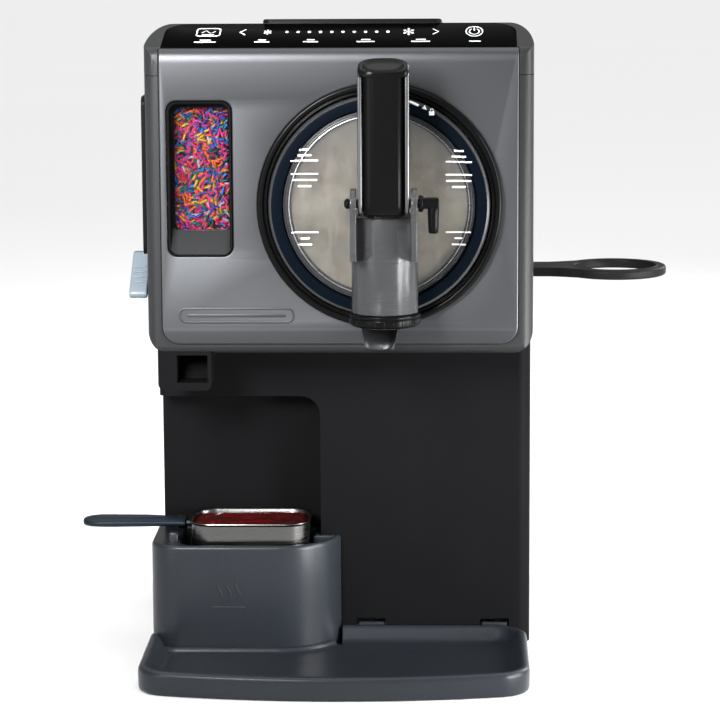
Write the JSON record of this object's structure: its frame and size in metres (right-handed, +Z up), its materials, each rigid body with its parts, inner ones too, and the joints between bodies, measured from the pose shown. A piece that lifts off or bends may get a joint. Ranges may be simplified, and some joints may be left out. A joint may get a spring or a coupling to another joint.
{
  "type": "soft serve machine",
  "caption": "Countertop soft serve ice cream machine with lever dispenser, sprinkle hopper, sauce warmer, drip tray and side cone holder.",
  "frame": {"origin": "bottom centre of the whole machine, on the worktop", "axes": "+X to the right seen from the front, +Y towards the back, +Z up; the front faces -Y"},
  "size_m": [0.4172, 0.3692, 0.4528],
  "materials": {
    "black_plastic": "fine texture",
    "black_gloss": "polished",
    "grey_panel": "metallic satin",
    "slate_plastic": "satin gloss",
    "steel": "brushed",
    "chrome": "polished",
    "clear_plastic": "clear",
    "smoky_plastic": "clear, smoky",
    "navy_rubber": "satin",
    "paddle_plastic": "satin",
    "black_rubber": "matt",
    "copper": "bare copper",
    "foam": "foam",
    "circuit_board": "lacquered",
    "aluminium": "as made"
  },
  "bodies": {
    "machine": {"head_casing": "black_plastic", "top_cover": "black_plastic", "hatch_frame": "black_plastic", "sprinkle_bezel": "black_plastic", "panel_ring": "black_plastic", "sprinkle_chute": "black_plastic", "column_shell": "black_plastic", "rear_cover": "black_plastic", "power_inlet": "black_plastic", "compressor": "black_plastic", "fan_shroud": "black_plastic", "cone_socket": "black_plastic", "control_glass": "black_gloss", "front_panel": "grey_panel", "warmer_housing": "slate_plastic", "hatch_pin": "steel", "freezing_drum": "steel", "drive_motor": "steel", "lever_spring": "steel", "base_plate": "steel", "fill_funnel": "clear_plastic", "foot_1": "black_rubber", "foot_2": "black_rubber", "foot_3": "black_rubber", "foot_4": "black_rubber", "evaporator_jacket": "copper", "refrigerant_line": "copper", "drum_insulation": "foam", "control_board": "circuit_board", "gearbox_housing": "aluminium", "gearbox_cover": "aluminium", "condenser": "aluminium", "power_supply": "aluminium", "heater_plate": "aluminium"},
    "lid": {"drum_lid": "clear_plastic", "lid_gasket": "black_rubber", "dispense_tube": "smoky_plastic"},
    "lock_ring": {"lock_ring": "navy_rubber"},
    "handle": {"handle_lever": "black_plastic", "handle_trim_left": "chrome", "handle_trim_right": "chrome"},
    "plunger": {"plunger": "black_plastic", "plunger_seal_lower": "black_rubber", "plunger_seal_upper": "black_rubber"},
    "pin": {"pivot_pin": "black_plastic"},
    "nozzle": {"nozzle_collar": "black_plastic", "nozzle_tip": "clear_plastic"},
    "hatch": {"hatch_lid": "black_plastic"},
    "hopper": {"sprinkle_hopper": "clear_plastic", "hopper_cover": "black_plastic"},
    "lever": {"sprinkle_lever": "paddle_plastic", "gate_roller": "clear_plastic"},
    "tray": {"drip_tray": "slate_plastic"},
    "pan": {"sauce_pan": "steel", "pan_handle": "navy_rubber"},
    "cone": {"cone_holder": "slate_plastic"},
    "dasher": {"dasher": "steel", "drum_gear": "steel"},
    "pinion": {"motor_pinion": "steel"},
    "fan": {"cooling_fan": "black_plastic"}
  },
  "joints": [
    {"name": "lid_slide", "type": "slide", "parent": "machine", "child": "lid", "axis": [0, -1, 0], "range_m": [0, 0.08]},
    {"name": "lock_turn", "type": "hinge", "parent": "lid", "child": "lock_ring", "pos_m": [0.00745, -0.11384, 0.3295], "axis": [0, 1, 0], "range_deg": [0, 20]},
    {"name": "handle_pull", "type": "hinge", "parent": "lid", "child": "handle", "pos_m": [0.01185, -0.16584, 0.3365], "axis": [1, 0, 0], "range_deg": [0, 80]},
    {"name": "plunger_lift", "type": "slide", "parent": "lid", "child": "plunger", "axis": [0, 0, 1], "range_m": [0, 0.022]},
    {"name": "pin_slide", "type": "slide", "parent": "lid", "child": "pin", "axis": [1, 0, 0], "range_m": [0, 0.065]},
    {"name": "nozzle_turn", "type": "hinge", "parent": "lid", "child": "nozzle", "pos_m": [0.01185, -0.14384, 0.256], "axis": [0, 0, 1], "range_deg": [0, 45]},
    {"name": "hatch_hinge", "type": "hinge", "parent": "machine", "child": "hatch", "pos_m": [-0.01265, 0.04671, 0.43966], "axis": [-1, 0, 0], "range_deg": [0, 85]},
    {"name": "hopper_slide", "type": "slide", "parent": "machine", "child": "hopper", "axis": [-1, 0, 0], "range_m": [0, 0.06]},
    {"name": "lever_press", "type": "hinge", "parent": "machine", "child": "lever", "pos_m": [-0.16015, -0.05684, 0.284], "axis": [1, 0, 0], "range_deg": [0, 25], "stiffness_Nm_per_rad": 0.02, "springref_deg": -20.05},
    {"name": "tray_slide", "type": "slide", "parent": "machine", "child": "tray", "axis": [0, -1, 0], "range_m": [0, 0.16]},
    {"name": "pan_lift", "type": "slide", "parent": "machine", "child": "pan", "axis": [0, 0, 1], "range_m": [0, 0.08]},
    {"name": "cone_slide", "type": "slide", "parent": "machine", "child": "cone", "axis": [1, 0, 0], "range_m": [0, 0.02]},
    {"name": "dasher_spin", "type": "hinge", "parent": "machine", "child": "dasher", "pos_m": [0.00745, -0.00684, 0.3295], "axis": [0, 1, 0], "continuous": true},
    {"name": "pinion_spin", "type": "hinge", "parent": "machine", "child": "pinion", "pos_m": [0.00745, 0.09316, 0.2815], "axis": [0, 1, 0], "continuous": true},
    {"name": "fan_spin", "type": "hinge", "parent": "machine", "child": "fan", "pos_m": [0.04385, 0.14316, 0.1], "axis": [0, 1, 0], "continuous": true}
  ],
  "couplings": [
    {"joint": "plunger_lift", "follows": "handle_pull", "m_per_rad": 0.0157},
    {"joint": "pinion_spin", "follows": "dasher_spin", "ratio": -3}
  ]
}
